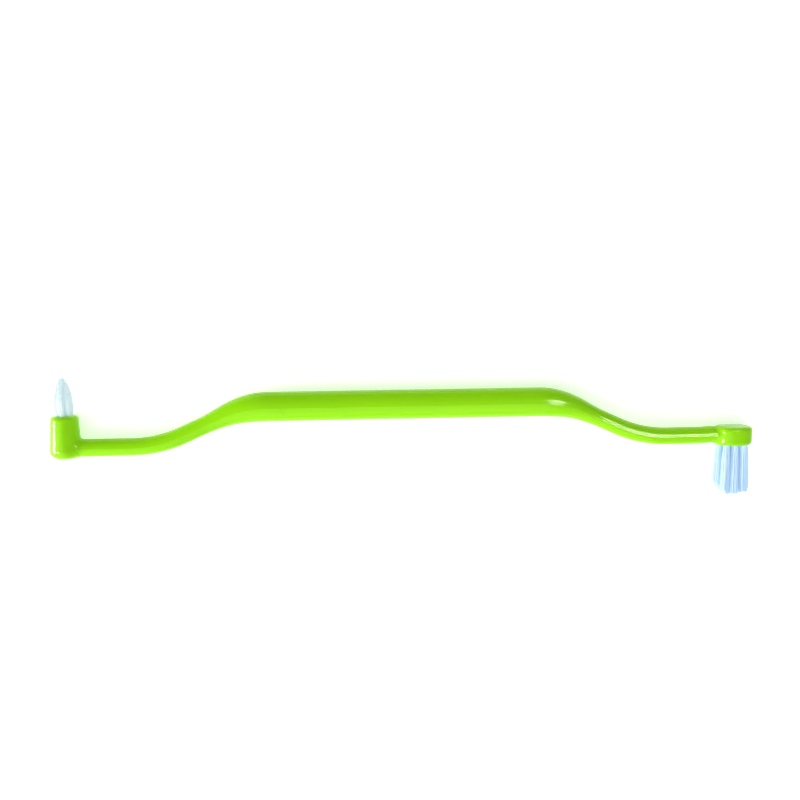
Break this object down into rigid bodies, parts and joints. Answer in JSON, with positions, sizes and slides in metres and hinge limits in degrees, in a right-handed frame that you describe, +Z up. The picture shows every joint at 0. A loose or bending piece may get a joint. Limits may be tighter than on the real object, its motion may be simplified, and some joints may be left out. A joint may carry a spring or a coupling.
{
  "type": "pet toothbrush",
  "caption": "Slim double-ended pet toothbrush: an arched moulded handle with a small barrel holding a pointed brush at one end and a micro head with a trimmed brush at the other.",
  "frame": {"origin": "middle of the footprint of the whole brush, on the table that it lies on", "axes": "+X from the pointed brush to the micro head, along the grip; +Y the way the pointed brush's tip points, opposite to the head brush's tips; +Z up from the table, square to the plane of the handle's bends"},
  "size_m": [0.1654, 0.0304, 0.0069],
  "materials": {
    "handle_plastic": "glossy lime green injection-moulded plastic",
    "point_bristle": "translucent white nylon filaments with a pale cyan tint",
    "head_bristle": "translucent pale blue nylon filaments",
    "anchor_metal": "thin stamped brass strip, satin"
  },
  "bodies": {
    "root": {"handle": "handle_plastic", "point_tuft_middle": "point_bristle", "point_anchor_middle": "anchor_metal", "point_tuft_ring_1": "point_bristle", "point_anchor_ring_1": "anchor_metal", "point_tuft_ring_2": "point_bristle", "point_anchor_ring_2": "anchor_metal", "point_tuft_ring_3": "point_bristle", "point_anchor_ring_3": "anchor_metal", "point_tuft_ring_4": "point_bristle", "point_anchor_ring_4": "anchor_metal", "point_tuft_ring_5": "point_bristle", "point_anchor_ring_5": "anchor_metal", "point_tuft_ring_6": "point_bristle", "point_anchor_ring_6": "anchor_metal", "head_tuft_upper_heel": "head_bristle", "head_anchor_upper_heel": "anchor_metal", "head_tuft_upper_middle": "head_bristle", "head_anchor_upper_middle": "anchor_metal", "head_tuft_upper_toe": "head_bristle", "head_anchor_upper_toe": "anchor_metal", "head_tuft_outer_heel": "head_bristle", "head_anchor_outer_heel": "anchor_metal", "head_tuft_inner_heel": "head_bristle", "head_anchor_inner_heel": "anchor_metal", "head_tuft_inner_toe": "head_bristle", "head_anchor_inner_toe": "anchor_metal", "head_tuft_outer_toe": "head_bristle", "head_anchor_outer_toe": "anchor_metal", "head_tuft_lower_heel": "head_bristle", "head_anchor_lower_heel": "anchor_metal", "head_tuft_lower_middle": "head_bristle", "head_anchor_lower_middle": "anchor_metal", "head_tuft_lower_toe": "head_bristle", "head_anchor_lower_toe": "anchor_metal"}
  },
  "joints": []
}
